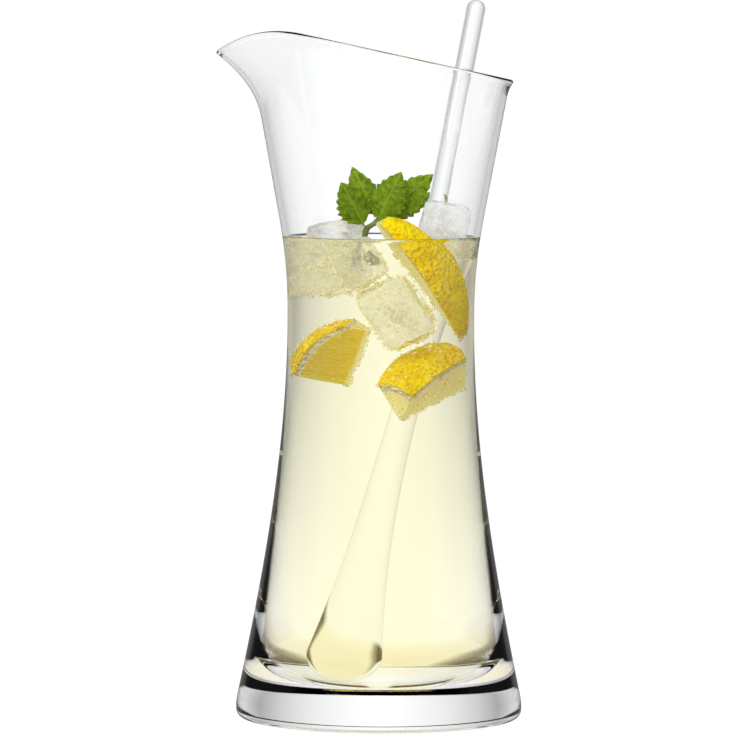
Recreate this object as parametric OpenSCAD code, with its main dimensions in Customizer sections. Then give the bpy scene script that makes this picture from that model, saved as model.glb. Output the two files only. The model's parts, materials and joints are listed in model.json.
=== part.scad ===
// Cocktail pitcher of blown glass with a slanted rim and a pulled spout, its glass stirrer,
// and the lemon drink in it with ice, lemon wedges and a sprig of mint.
// Millimetres. Z points up, the spout points to -X, and the foot stands on z = 0.

/* [Pitcher] */
// height from the table to the highest point of the rim
pitcher_height = 283; // [250:1:310]
// diameter across the foot
base_diameter = 118; // [100:1:130]
// diameter at the waist
waist_diameter = 77; // [70:1:90]
// height of the waist above the table
waist_height = 165; // [150:1:180]
// thickness of the glass wall from the waist up
wall = 2.6; // [2:0.1:3.4]
// thickness of the glass floor under the drink
floor_thickness = 13; // [8:0.5:20]
// radius of the rounding where the bore meets the floor
bore_rounding = 13; // [8:0.5:15]
// radius of the rounding round the foot
foot_rounding = 3.6; // [2:0.2:6]
// how much the wall leans outward above the waist, in mm for each mm of height
mouth_flare = 0.185; // [0.1:0.005:0.25]
// angle by which the rim falls away from the spout
rim_angle = 11.6; // [6:0.2:14]
// how far the lip turns outward at the rim
lip_turn = 2.2; // [1:0.1:3]
// height of the turned lip
lip_height = 7; // [5:0.5:10]
// how far the spout stands out from the round mouth
spout_reach = 15; // [8:0.5:18]
// radius of the spout's tip seen from above
spout_tip_radius = 7; // [5:0.5:10]

/* [Stirrer] */
// overall length of the glass stirrer
stirrer_length = 293; // [270:1:310]
// diameter of the stirrer's rod
rod_diameter = 8; // [6:0.5:9]
// diameter of the stirrer's teardrop end
teardrop_diameter = 25.8; // [20:0.2:27]
// length over which the teardrop tapers into the rod
teardrop_length = 140; // [110:1:160]
// angle by which the stirrer leans from upright
stirrer_lean = 15.26; // [14:0.02:16]
// compass angle toward which the stirrer leans
stirrer_heading = 45.9; // [40:0.1:50]

/* [Drink] */
// height of the drink's surface above the table
drink_level = 197.5; // [180:0.5:210]
// how far the drink climbs the glass at its edge
meniscus = 1.8; // [0.5:0.1:2.5]
// clearance between the drink and what it touches
drink_gap = 0.3; // [0.2:0.05:0.5]

/* [Ice] */
// width of the ice block at the back left
ice_left_width = 22; // [16:0.5:24]
// height of the ice block at the back left
ice_left_height = 32; // [26:0.5:33]
// width of the ice block at the right
ice_right_width = 21; // [16:0.5:21.5]
// width of the small ice block at the front left
ice_front_width = 19; // [14:0.5:21]
// width of the large ice block in the middle
ice_middle_width = 22; // [18:0.5:24]
// length of the large ice block in the middle
ice_middle_length = 29; // [22:0.5:31]
// size of the melted corners of the ice
ice_melt = 3.5; // [2:0.25:5]

/* [Lemon] */
// diameter of the lemon that the wedge at the top was cut from
top_lemon_diameter = 37; // [34:0.5:37.5]
// diameter of the lemon that the two lower wedges were cut from
lemon_diameter = 47; // [40:0.5:47.5]
// length of that lemon from tip to tip
lemon_length = 64; // [56:1:65]
// thickness of the lemon's rind
rind_thickness = 3.6; // [2.5:0.1:5]
// angle of one wedge
wedge_angle = 60; // [45:1:62]
// length of the wedge at the top between its cut tips
top_wedge_length = 56; // [48:0.5:57]
// length of the short wedge at the left
left_wedge_length = 27; // [20:0.5:27.5]
// length of the short wedge at the right
right_wedge_length = 30; // [22:0.5:30.5]

/* [Mint] */
// width of the broadest mint leaves
leaf_width = 16; // [12:0.5:16.5]
// thickness of a mint leaf
leaf_thickness = 0.7; // [0.5:0.1:1.2]
// diameter of the mint stem
stem_diameter = 2.4; // [1.6:0.2:3]

/* [Hidden] */
$fn = 96;
eps = 0.01;

// pitcher
base_radius = base_diameter / 2;
waist_radius = waist_diameter / 2;
bore_radius = waist_radius - wall;
widest_z = foot_rounding * 2;
spread = (base_radius * base_radius - waist_radius * waist_radius)
    / ((waist_height - widest_z) * (waist_height - widest_z));
bend_start = waist_height + 3;
bend_height = 38;
bend_end = bend_start + bend_height;
join_z = bend_end + 30;
spout_start = join_z + 11;
spout_climb = 28;
spout_curve = 2.2;
rim_drop_at = 33;
rim_drop_run = 36;
rim_drop = 13.4;

// outer radius of the round body at a height
function outer_r(z) = z < waist_height
    ? sqrt(waist_radius * waist_radius + spread * (waist_height - z) * (waist_height - z))
    : waist_radius + mouth_flare * bend_height / 2 * pow(bend_part(z), 2)
        + mouth_flare * max(z - bend_end, 0);
function bend_part(z) = min(max((z - bend_start) / bend_height, 0), 1);

// inner radius at a height, straight below the waist
function inner_r(z) = z < waist_height ? bore_radius : outer_r(z) - wall;

// height of the rim above a point, by its distance along X
function rim_z(x) = pitcher_height - 7.95 - tan(rim_angle) * x
    - rim_drop * pow(max(0, (-rim_drop_at - x) / rim_drop_run), spout_curve);

// radius of a circle with a rounded beak pulled toward -X, at an angle off that direction
function beaked_r(a, r, pull, tip) = let(
    d = r + pull - tip,
    touch = acos(min((r - tip) / d, 0.99999)),
    tip_touch = atan2(tip * sin(touch), d + tip * cos(touch)))
    a > touch ? r
    : a < tip_touch ? d * cos(a) + sqrt(max(tip * tip - pow(d * sin(a), 2), 0))
    : r / cos(a - touch);

// outer radius of the upper wall, at an angle off the spout, a height and a rim height
function upper_r(a, z, top) = let(
    below = top - z,
    turn = lip_turn * pow(max(1 - below / lip_height, 0), 2),
    pull = spout_reach * pow(max(0, (z - spout_start) / spout_climb), spout_curve),
    r = outer_r(z) + turn,
    tip = spout_tip_radius + 30 * min(max(below / spout_climb, 0), 1))
    beaked_r(a, r, max(pull - turn, 0.0001), min(tip, r - 1));

// height of the rim at an angle off the spout, found by repeating
function rim_at(a, top, n) = n == 0 ? top
    : rim_at(a, (top + rim_z(-upper_r(a, top, top) * cos(a))) / 2, n - 1);

// angles round the mouth, closer together at the spout
half_steps = 38;
mouth_angles = [for (i = [-half_steps : half_steps - 1])
    180 + sign(i) * 180 * pow(abs(i) / half_steps, 1.4)];
function off_spout(t) = abs(t - 180);
rim_tops = [for (t = mouth_angles) rim_at(off_spout(t), pitcher_height - 13, 40)];

wall_steps = 11;
seam = 0.06;
// the upper wall starts this far down inside the round body
seam_depth = 0.5;

// one ring of the upper wall, outside or inside, at a share of the way up to the rim
function wall_ring(part, inset) = [for (i = [0 : len(mouth_angles) - 1]) let(
    t = mouth_angles[i],
    top = rim_tops[i] - wall / 2,
    z = join_z - seam_depth + (top - join_z + seam_depth) * part,
    r = upper_r(off_spout(t), z, rim_tops[i]) - inset)
    [r * cos(t), r * sin(t), z]];

// one ring of the rounded rim
function rim_ring(a) = [for (i = [0 : len(mouth_angles) - 1]) let(
    t = mouth_angles[i],
    top = rim_tops[i] - wall / 2,
    r = upper_r(off_spout(t), top, rim_tops[i]) - wall / 2 + wall / 2 * cos(a))
    [r * cos(t), r * sin(t), top + wall / 2 * sin(a)]];

// stirrer
rod_radius = rod_diameter / 2;
teardrop_radius = teardrop_diameter / 2;
stirrer_gap = 0.4;
stirrer_clear = 0.5;
// the teardrop lies this far from the bore's wall
teardrop_out = bore_radius - teardrop_radius - 2.4;
teardrop_side = 235.7;
teardrop_at = [teardrop_out * cos(teardrop_side), teardrop_out * sin(teardrop_side),
    floor_thickness + stirrer_gap + teardrop_radius];

// radius along the stirrer, from its teardrop end
function stirrer_r(s) = s < teardrop_radius
    ? sqrt(max(teardrop_radius * teardrop_radius - pow(teardrop_radius - s, 2), 0))
    : rod_radius + (teardrop_radius - rod_radius) * teardrop_taper(
        min((s - teardrop_radius) / (teardrop_length - teardrop_radius), 1));
function teardrop_taper(t) = pow(1 - t, 2.1) * (1 - 0.15 * sin(180 * t));

// drink and what floats in it
drink_bottom = floor_thickness + drink_gap;
drink_rounding = bore_rounding - drink_gap;
pocket_gap = 0.35;
rind_seam = 0.05;
lemon_radius = lemon_diameter / 2;
top_lemon_radius = top_lemon_diameter / 2;
lemon_half = lemon_length / 2;

// radius of the lemon at a distance along it, with a small nub at each tip
function lemon_r(h, r) = max(r * sqrt(max(1 - pow(h / (lemon_half * 0.93), 2), 0)),
    r * 0.24 * sqrt(max(1 - pow(h / lemon_half, 6), 0)));

ice_left_at = [-17.5, 12, 190];
// distance of the right ice block from the glass at the drink's surface
ice_wall_gap = 2;
ice_right_at = [inner_r(drink_level) - ice_right_width / 2 - ice_wall_gap, 1, 202.5];
ice_front_at = [-8.5, -15.5, 188.8];
ice_middle_at = [5.5, -15.5, 168.5];
// the top wedge leans on the glass with its middle or its cut tip, whichever stands out more
top_lean = max(lemon_r(top_wedge_length / 2, top_lemon_radius), top_lemon_radius * 0.339);
lemon_top_at = [13.7, -11.65, 180.4] + top_lean * [-0.27, 0.5, 0.1];
lemon_left_at = [-10.2, -6, 137.5];
lemon_right_at = [19.9, -3, 131.5];
right_wedge_end = 10;

// a point at a compass angle and a height, this far in from the wall
function near_wall(a, z, gap) = [(inner_r(z) - gap) * cos(a), (inner_r(z) - gap) * sin(a), z];

// mint: where the stem bends, and where each leaf starts and ends
stem_knuckle = 1.06;
stem_points = [[-8, -2, 187], [-6.5, -4, 202.3], [-1.5, -4.5, 205.5], [1, -2.5, 210.5]];
leaf_front = [[-7, -5.9, 203.5], [-15.7, -13, 221]];
leaf_tall = [[-2.6, -3, 207.2], [-11.6, 6, 228.6]];
leaf_middle = [[-1.6, -6.9, 205.2], [6.6, -16.7, 225.2]];
leaf_right = [[1.3, -5, 207.6], [19.4, -11, 225.5]];
leaf_back = [[0.1, -2.2, 206.7], near_wall(51.9, 219, 2.43)];
leaf_sunken = [[-5.6, -3.6, 193.8], [0.5, -4, 189.5]];

// a solid skinned over rings of points; the last ring joins the first when it is a loop
module skinned_loop(rings) {
    n = len(rings[0]);
    m = len(rings);
    polyhedron(
        points = [for (ring = rings) each ring],
        faces = [for (j = [0 : m - 1], i = [0 : n - 1]) let(
            a = j * n + i,
            b = j * n + (i + 1) % n,
            c = ((j + 1) % m) * n + (i + 1) % n,
            d = ((j + 1) % m) * n + i)
            each [[a, c, b], [a, d, c]]]);
}

module foot_and_waist() {
    steps = 42;
    low = widest_z;
    corner_out = outer_r(low);
    outside = [for (i = [0 : steps]) let(z = low + (join_z - low) * i / steps) [outer_r(z), z]];
    inside = [for (i = [0 : 14]) let(z = join_z + (waist_height - join_z) * i / 14)
        [inner_r(z), z]];
    rounding = [for (a = [0 : 9 : 90])
        [bore_radius - bore_rounding + bore_rounding * cos(a),
            floor_thickness + bore_rounding - bore_rounding * sin(a)]];
    rotate_extrude() polygon(concat(
        [[0, 0], [corner_out - foot_rounding, 0]],
        [for (a = [-75 : 15 : -15])
            [corner_out - foot_rounding + foot_rounding * cos(a),
                foot_rounding + foot_rounding * sin(a)]],
        [[corner_out, foot_rounding]],
        outside, inside, rounding, [[0, floor_thickness]]));
}

module mouth_and_spout() {
    skinned_loop(concat(
        [wall_ring(0, seam)],
        [for (j = [1 : wall_steps]) wall_ring(j / wall_steps, 0)],
        [for (a = [36 : 36 : 144]) rim_ring(a)],
        [for (j = [wall_steps : -1 : 1]) wall_ring(j / wall_steps, wall)],
        [wall_ring(0, wall - seam)]));
}

module pitcher() {
    color([0.86, 0.91, 0.92, 0.35]) union() {
        foot_and_waist();
        mouth_and_spout();
    }
}

// the stirrer standing on its teardrop end, grown by a clearance
module stirrer_upright(grow) {
    steps = 40;
    round_end = [for (a = [-75 : 15 : -15]) let(s = teardrop_radius * (1 + sin(a)))
        [stirrer_r(s) + grow * cos(a), s + grow * sin(a)]];
    taper = [for (i = [0 : steps]) let(
        s = teardrop_radius + (teardrop_length - teardrop_radius) * i / steps)
        [stirrer_r(s) + grow, s]];
    top_end = [for (a = [0 : 15 : 75])
        [(rod_radius + grow) * cos(a),
            stirrer_length - rod_radius + (rod_radius + grow) * sin(a)]];
    rotate_extrude() polygon(concat([[0, -grow]], round_end, taper, top_end,
        [[0, stirrer_length + grow]]));
}

// moves the stirrer from upright to where it leans
module lean_stirrer() {
    translate(teardrop_at) rotate([0, 0, stirrer_heading]) rotate([0, stirrer_lean, 0])
        translate([0, 0, -teardrop_radius]) children();
}

module stirrer() {
    color([0.9, 0.95, 0.95, 0.5]) lean_stirrer() stirrer_upright(0);
}

// a block with melted corners, centred, grown by a clearance
module ice_block(size, grow) {
    h = [for (s = size) s / 2 + grow];
    m = ice_melt;
    sides = [for (sx = [-1, 1], sy = [-1, 1], sz = [-1, 1]) each [
        [sx * h[0], sy * (h[1] - m), sz * (h[2] - m)],
        [sx * (h[0] - m), sy * h[1], sz * (h[2] - m)],
        [sx * (h[0] - m), sy * (h[1] - m), sz * h[2]]]];
    hull() polyhedron(points = sides, faces = [[0, 1, 2], [3, 4, 5], [6, 7, 8], [9, 10, 11],
        [12, 13, 14], [15, 16, 17], [18, 19, 20], [21, 22, 23]]);
}

module place_ice(at, turn) {
    translate(at) rotate(turn) children();
}

module ice_left_block(grow) {
    place_ice(ice_left_at, [0, -10, -34])
        ice_block([ice_left_width, ice_left_width, ice_left_height], grow);
}

module ice_right_block(grow) {
    place_ice(ice_right_at, [0, 12, 0])
        ice_block([ice_right_width, ice_right_width * 0.85, ice_right_width * 1.1], grow);
}

module ice_front_block(grow) {
    place_ice(ice_front_at, [0, -30, 0])
        ice_block([ice_front_width, ice_front_width, ice_front_width], grow);
}

module ice_middle_block(grow) {
    place_ice(ice_middle_at, [0, -30, 0])
        ice_block([ice_middle_width, ice_middle_width, ice_middle_length], grow);
}

module ice_left() {
    color([0.9, 0.96, 1, 0.5]) ice_left_block(0);
}

module ice_right() {
    color([0.9, 0.96, 1, 0.5]) ice_right_block(0);
}

module ice_front() {
    color([0.9, 0.96, 1, 0.5]) ice_front_block(0);
}

module ice_middle() {
    color([0.9, 0.96, 1, 0.5]) ice_middle_block(0);
}

// part of a lemon wedge between two depths under its skin, from one place along it to
// another; the wedge lies along +Z and its middle points to +X
module wedge_solid(from, to, r, inner, outer) {
    n = 16;
    stations = [for (i = [0 : n]) let(h = from + (to - from) * i / n)
        if (inner > 0 || outer <= 0 || lemon_r(h, r) > outer + 1.5) h];
    m = len(stations) - 1;
    out_side = [for (h = stations) [lemon_r(h, r) - outer, h]];
    in_side = inner < 0 ? [[0, stations[m]], [0, stations[0]]]
        : [for (i = [m : -1 : 0]) let(h = stations[i])
            [max(lemon_r(h, r) - inner, 0.15), h]];
    rotate([0, 0, -wedge_angle / 2]) rotate_extrude(angle = wedge_angle)
        polygon(concat(out_side, in_side));
}

// puts a piece made along +Z, with its face to +X, at a place in two directions
module place_along(at, along, toward) {
    z = along / norm(along);
    side = cross(z, toward);
    y = side / norm(side);
    x = cross(y, z);
    multmatrix([
        [x[0], y[0], z[0], at[0]],
        [x[1], y[1], z[1], at[1]],
        [x[2], y[2], z[2], at[2]],
        [0, 0, 0, 1]]) children();
}

module place_lemon_top() {
    place_along(lemon_top_at, [0.52, 0.1, -0.85], [0.62, -0.68, 0.3]) children();
}

module place_lemon_left() {
    place_along(lemon_left_at, [0.24, -0.42, 0.875], [-0.865, 0.316, 0.389]) children();
}

module place_lemon_right() {
    place_along(lemon_right_at, [0.656, 0.643, 0.394], [-0.093, -0.45, 0.888]) children();
}

module rind(from, to, r) {
    wedge_solid(from, to, r, rind_thickness, 0);
}

module flesh(from, to, r) {
    wedge_solid(from, to, r, -1, rind_thickness + rind_seam);
}

// the room that a wedge takes in the drink
module wedge_room(from, to, r) {
    back = pocket_gap / sin(wedge_angle / 2);
    translate([-back, 0, 0])
        wedge_solid(from - pocket_gap, to + pocket_gap, r, -1, -pocket_gap - back);
}

module lemon_top_rind() {
    color([0.95, 0.8, 0.1]) place_lemon_top()
        rind(-top_wedge_length / 2, top_wedge_length / 2, top_lemon_radius);
}

module lemon_top_flesh() {
    color([0.9, 0.88, 0.5]) place_lemon_top()
        flesh(-top_wedge_length / 2, top_wedge_length / 2, top_lemon_radius);
}

module lemon_left_rind() {
    color([0.95, 0.8, 0.1]) place_lemon_left() rind(0, left_wedge_length, lemon_radius);
}

module lemon_left_flesh() {
    color([0.9, 0.88, 0.5]) place_lemon_left() flesh(0, left_wedge_length, lemon_radius);
}

module lemon_right_rind() {
    color([0.95, 0.8, 0.1]) place_lemon_right()
        rind(right_wedge_end - right_wedge_length, right_wedge_end, lemon_radius);
}

module lemon_right_flesh() {
    color([0.9, 0.88, 0.5]) place_lemon_right()
        flesh(right_wedge_end - right_wedge_length, right_wedge_end, lemon_radius);
}

// the mint stem, grown by a clearance
module stem_shape(grow) {
    r = stem_diameter / 2 + grow;
    for (i = [0 : len(stem_points) - 2]) let(
        a = stem_points[i],
        run = stem_points[i + 1] - a)
        place_along(a, run, [1, 0, 0]) cylinder(h = norm(run), r = r, $fn = 32);
    for (at = stem_points) translate(at) sphere(r = r * stem_knuckle, $fn = 32);
}

module mint_stem() {
    color([0.45, 0.5, 0.25]) stem_shape(0);
}

// half the width of a leaf at a share of its length, with its teeth
function leaf_w(t, width) = let(tooth = abs((t * 8) % 1 - 0.5) * 2)
    max(width / 2 * pow(sin(180 * pow(max(t - 0.1, 0) / 0.9, 0.72)), 0.75)
        * (0.88 + 0.12 * tooth), 0.45);

// one face of a leaf, from its base to its tip, folded along the middle and bent back
function leaf_face(length, width, lift, grow) = [for (i = [0 : 16]) let(
    t = i / 16,
    w = leaf_w(t, width) + grow)
    for (j = [-2 : 2]) [
        lift - abs(j) * w * 0.16 - 0.12 * length * t * t,
        j / 2 * w,
        -grow + (length + 2 * grow) * t]];

module leaf(ends, width, toward, grow = 0) {
    run = ends[1] - ends[0];
    half = leaf_thickness / 2 + grow;
    top = leaf_face(norm(run), width, half, grow);
    low = leaf_face(norm(run), width, -half, grow);
    n = 5;
    m = 17;
    k = n * m;
    place_along(ends[0], run, toward) polyhedron(
        points = concat(low, top),
        faces = concat(
            [for (i = [0 : m - 2], j = [0 : n - 2]) let(a = i * n + j)
                each [[a, a + 1, a + n + 1], [a, a + n + 1, a + n]]],
            [for (i = [0 : m - 2], j = [0 : n - 2]) let(a = k + i * n + j)
                each [[a, a + n + 1, a + 1], [a, a + n, a + n + 1]]],
            [for (i = [0 : m - 2]) let(a = i * n)
                each [[a, a + n, a + n + k], [a, a + n + k, a + k]]],
            [for (i = [0 : m - 2]) let(a = i * n + n - 1)
                each [[a, a + n + k, a + n], [a, a + k, a + n + k]]],
            [for (j = [0 : n - 2]) each [[j, j + k + 1, j + 1], [j, j + k, j + k + 1]]],
            [for (j = [0 : n - 2]) let(a = (m - 1) * n + j)
                each [[a, a + 1, a + k + 1], [a, a + k + 1, a + k]]]));
}

module mint_leaf_front() {
    color([0.3, 0.5, 0.15]) leaf(leaf_front, leaf_width * 0.95, [0.1, -0.95, 0.25]);
}

module mint_leaf_tall() {
    color([0.3, 0.5, 0.15]) leaf(leaf_tall, leaf_width * 0.9, [0.25, -0.9, 0.3]);
}

module mint_leaf_middle() {
    color([0.3, 0.5, 0.15]) leaf(leaf_middle, leaf_width, [-0.2, -0.95, 0.2]);
}

module mint_leaf_right() {
    color([0.3, 0.5, 0.15]) leaf(leaf_right, leaf_width * 0.95, [-0.3, -0.9, 0.3]);
}

module mint_leaf_back() {
    color([0.3, 0.5, 0.15]) leaf(leaf_back, leaf_width * 0.7, [0.5, -0.6, 0.5]);
}

module mint_leaf_sunken() {
    color([0.3, 0.5, 0.15]) leaf(leaf_sunken, leaf_width * 0.42, [0, -0.9, 0.4]);
}

// the drink's own round body, a little clear of the glass
module drink_body() {
    bore = bore_radius - drink_gap;
    edge_z = drink_level + meniscus;
    rounding = [for (a = [0 : 9 : 90])
        [bore - drink_rounding + drink_rounding * sin(a),
            drink_bottom + drink_rounding - drink_rounding * cos(a)]];
    side = [for (i = [0 : 8]) let(z = waist_height + (edge_z - waist_height) * i / 8)
        [inner_r(z) - drink_gap, z]];
    edge_r = inner_r(edge_z) - drink_gap;
    dip = [for (i = [1 : 6]) [edge_r - i, drink_level + meniscus * pow(1 - i / 6, 2)]];
    rotate_extrude() polygon(concat([[0, drink_bottom]], rounding, side, dip,
        [[0, drink_level]]));
}

module drink() {
    color([1, 0.97, 0.75, 0.4]) difference() {
        drink_body();
        lean_stirrer() stirrer_upright(stirrer_clear);
        ice_left_block(pocket_gap);
        ice_right_block(pocket_gap);
        ice_front_block(pocket_gap);
        ice_middle_block(pocket_gap);
        place_lemon_top() wedge_room(-top_wedge_length / 2, top_wedge_length / 2,
            top_lemon_radius);
        place_lemon_left() wedge_room(0, left_wedge_length, lemon_radius);
        place_lemon_right() wedge_room(right_wedge_end - right_wedge_length, right_wedge_end,
            lemon_radius);
        stem_shape(pocket_gap);
        leaf(leaf_sunken, leaf_width * 0.42, [0, -0.9, 0.4], pocket_gap);
    }
}

pitcher();
stirrer();
drink();
ice_left();
ice_right();
ice_front();
ice_middle();
lemon_top_rind();
lemon_top_flesh();
lemon_left_rind();
lemon_left_flesh();
lemon_right_rind();
lemon_right_flesh();
mint_stem();
mint_leaf_front();
mint_leaf_tall();
mint_leaf_middle();
mint_leaf_right();
mint_leaf_back();
mint_leaf_sunken();
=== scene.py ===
import json
import math

import bmesh
import bpy
import numpy as np
from bpy.props import FloatProperty, FloatVectorProperty, IntProperty, PointerProperty
from mathutils import Euler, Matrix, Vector

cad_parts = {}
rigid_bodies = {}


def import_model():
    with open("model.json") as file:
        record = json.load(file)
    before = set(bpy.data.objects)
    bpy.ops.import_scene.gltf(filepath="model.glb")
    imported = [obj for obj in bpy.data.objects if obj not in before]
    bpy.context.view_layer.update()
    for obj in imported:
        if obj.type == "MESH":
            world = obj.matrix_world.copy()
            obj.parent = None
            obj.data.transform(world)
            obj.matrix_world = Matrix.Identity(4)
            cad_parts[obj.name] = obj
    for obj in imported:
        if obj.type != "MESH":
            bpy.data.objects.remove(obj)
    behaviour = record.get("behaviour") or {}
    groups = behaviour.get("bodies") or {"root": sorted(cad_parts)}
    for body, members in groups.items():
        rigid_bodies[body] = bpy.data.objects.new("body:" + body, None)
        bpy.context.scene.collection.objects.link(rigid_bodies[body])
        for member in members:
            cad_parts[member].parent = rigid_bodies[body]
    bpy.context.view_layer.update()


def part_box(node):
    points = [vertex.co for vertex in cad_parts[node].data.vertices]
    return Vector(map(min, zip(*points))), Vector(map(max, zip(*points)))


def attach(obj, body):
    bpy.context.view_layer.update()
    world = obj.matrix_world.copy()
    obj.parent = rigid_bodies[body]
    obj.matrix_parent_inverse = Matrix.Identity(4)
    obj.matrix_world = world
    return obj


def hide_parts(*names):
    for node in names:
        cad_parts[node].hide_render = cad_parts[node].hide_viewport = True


bl_info = {
    "name": "Lemon Drink Pitcher",
    "version": (1, 0, 0),
    "blender": (4, 5, 0),
    "location": "View3D > Sidebar > Pitcher",
    "description": "Builds a glass pitcher with its stirrer, lemon drink, ice, lemon and mint",
    "category": "Add Mesh",
}

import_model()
MM = 0.001
TURN = 2 * math.pi

# heights and radii of the glass, in mm, as the solids have them
FOOT_R = 59.0
FOOT_ROUND = 3.6
WAIST_R = 38.5
WAIST_Z = 165.0
BORE_R = 35.9
FLOOR_Z = 13.0
BORE_ROUND = 13.0
BEND_Z = 168.0
BEND_RUN = 38.0
UPPER_Z = 236.0
SPOUT_Z = 247.0
SPOUT_CLIMB = 28.0
SPOUT_CURVE = 2.2
LIP_RUN = 7.0
RIM_DROP_AT = 33.0
RIM_DROP_RUN = 36.0
RIM_DROP = 13.4
RIM_BELOW_TOP = 7.95
SPREAD = (FOOT_R ** 2 - WAIST_R ** 2) / (WAIST_Z - 2 * FOOT_ROUND) ** 2
TEARDROP_AT = (-11.61, -17.02)
STIRRER_LEAN = math.radians(15.26)
STIRRER_HEADING = math.radians(45.9)
LEMON_HALF = 32.0
WEDGE_HALF = math.radians(30)

# where each ice block lies, how it is turned and its width, depth and height
ICE = {
    "ice_left": ((-17.5, 12, 190), (0, -10, -34), (22, 22, 32)),
    "ice_right": ((25.52, 1, 202.5), (0, 12, 0), (21, 17.85, 23.1)),
    "ice_front": ((-8.5, -15.5, 188.8), (0, -30, 0), (19, 19, 19)),
    "ice_middle": ((5.5, -15.5, 168.5), (0, -30, 0), (22, 22, 29)),
}
# where each wedge lies, which way it runs, which way its peel faces, from where to where it
# runs, its lemon's radius, and how pale its flesh is
LEMONS = {
    "lemon_top": ((12.01, -8.52, 181.03), (0.52, 0.1, -0.85), (0.62, -0.68, 0.3),
                  (-28, 28), 18.5, 0.7),
    "lemon_left": ((-10.2, -6, 137.5), (0.24, -0.42, 0.875), (-0.865, 0.316, 0.389),
                   (0, 27), 23.5, 0.0),
    "lemon_right": ((19.9, -3, 131.5), (0.656, 0.643, 0.394), (-0.093, -0.45, 0.888),
                    (-20, 10), 23.5, 0.7),
}
# where each leaf starts and ends, its share of the full width and which way it faces
LEAVES = {
    "mint_leaf_front": ((-7, -5.9, 203.5), (-15.7, -13, 221), 0.95, (0.1, -0.95, 0.25)),
    "mint_leaf_tall": ((-2.6, -3, 207.2), (-11.6, 6, 228.6), 0.9, (0.25, -0.9, 0.3)),
    "mint_leaf_middle": ((-1.6, -6.9, 205.2), (6.6, -16.7, 225.2), 1.0, (-0.2, -0.95, 0.2)),
    "mint_leaf_right": ((1.3, -5, 207.6), (19.4, -11, 225.5), 0.95, (-0.3, -0.9, 0.3)),
    "mint_leaf_back": ((0.1, -2.2, 206.7), (24.3, 31, 219), 0.7, (0.5, -0.6, 0.5)),
    "mint_leaf_sunken": ((-5.6, -3.6, 193.8), (0.5, -4, 189.5), 0.42, (0, -0.9, 0.4)),
}
STEM = ((-8, -2, 187), (-6.5, -4, 202.3), (-1.5, -4.5, 205.5), (1, -2.5, 210.5))

GLASS_INDEX = 1.5
LAMP_PASSES = (0.92, 0.92, 0.92)  # what clear things let through to what they shade
STIRRER_GAP = 0.4  # mm between the teardrop and the floor
SINK_IN_GLASS = 0.12  # mm by which the drink's side lies inside the glass
BUBBLE_EDGE = 1.2  # mm that bubbles keep from the surface and from the glass
CORE_R = 0.3  # mm from a lemon's middle line to where its flesh starts
SEGMENT = math.radians(41)  # width of one segment of lemon
CREASE_ANGLE = math.radians(42)  # edges of the lemon above this stay sharp
RIME_SHARE = 0.985  # size of the shell of rime in its block
LEAF_RINGS, LEAF_ROWS = 97, 33
FLOOR_LIFT = 0.25  # m, what the floor adds to its places to look them up in the studio
PAINTED_SHADE_RINGS = (0.08, 0.1, 0.114)  # m, radii of the painted shade on the floor under the foot


# ---------------------------------------------------------------- meshes

def grid_faces(m, n, loop=True, start=0, poles=(None, None)):
    """Quads between m rings of n points, round and along, and fans to the pole points."""
    index = start + np.arange(m * n).reshape(m, n)
    after = np.roll(index, -1, 1)
    cut = n if loop else n - 1
    quads = np.stack([index[:-1, :cut], after[:-1, :cut], after[1:, :cut], index[1:, :cut]], -1)
    faces = quads.reshape(-1, 4).tolist()
    if poles[0] is not None:
        fan = np.stack([np.full(n, poles[0]), after[0], index[0]], -1)
        faces += fan.tolist()
    if poles[1] is not None:
        fan = np.stack([index[-1], after[-1], np.full(n, poles[1])], -1)
        faces += fan.tolist()
    return faces


def stack(*parts):
    """Arrays or numbers, broadcast to one grid, as the parts of its points."""
    return np.stack(np.broadcast_arrays(*parts), -1)


def add_piece(name, points, faces, body, node, slot, *materials, uv=None, **values):
    """Makes a mesh object from points in mm and faces, smooth, and hands it to the frame.

    uv is one pair per point, and any other named value is one number per point.
    """
    mesh = bpy.data.meshes.new(name)
    mesh.from_pydata((np.asarray(points, float) * MM).tolist(), [], faces)
    mesh.polygons.foreach_set("use_smooth", np.ones(len(mesh.polygons), bool))
    corner = np.empty(len(mesh.loops), int)
    mesh.loops.foreach_get("vertex_index", corner)
    if uv is not None:
        layer = mesh.uv_layers.new(name="UVMap")
        layer.data.foreach_set("uv", np.asarray(uv, float)[corner].ravel())
    for key, row in values.items():
        layer = mesh.attributes.new(key, "FLOAT", "POINT")
        layer.data.foreach_set("value", np.asarray(row, float).ravel())
    for material in materials:
        mesh.materials.append(material)
    mesh.update()
    piece = bpy.data.objects.new(name, mesh)
    bpy.context.scene.collection.objects.link(piece)
    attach(piece, body)
    if node:
        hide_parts(node)
    return piece


def weld(piece, far=1e-6):
    """Joins points that lie on one another, so that the piece is closed, turns every face
    outwards, and marks the edges sharp where two faces meet at a wide angle."""
    work = bmesh.new()
    work.from_mesh(piece.data)
    bmesh.ops.remove_doubles(work, verts=work.verts, dist=far)
    bmesh.ops.recalc_face_normals(work, faces=work.faces)
    work.normal_update()
    for edge in work.edges:
        edge.smooth = len(edge.link_faces) != 2 or edge.calc_face_angle() < CREASE_ANGLE
    work.to_mesh(piece.data)
    work.free()


def ball(m, n, start=0):
    """A ball one unit in radius, of m rings of n points between two poles, and its faces."""
    v = np.linspace(0, math.pi, m + 2)[1:-1][::-1, None]
    u = np.arange(n)[None] * TURN / n
    ways = stack(np.sin(v) * np.cos(u), np.sin(v) * np.sin(u), np.cos(v)).reshape(-1, 3)
    poles = (start + m * n, start + m * n + 1)
    return np.vstack([ways, [0, 0, -1], [0, 0, 1]]), grid_faces(m, n, start=start, poles=poles)


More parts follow.
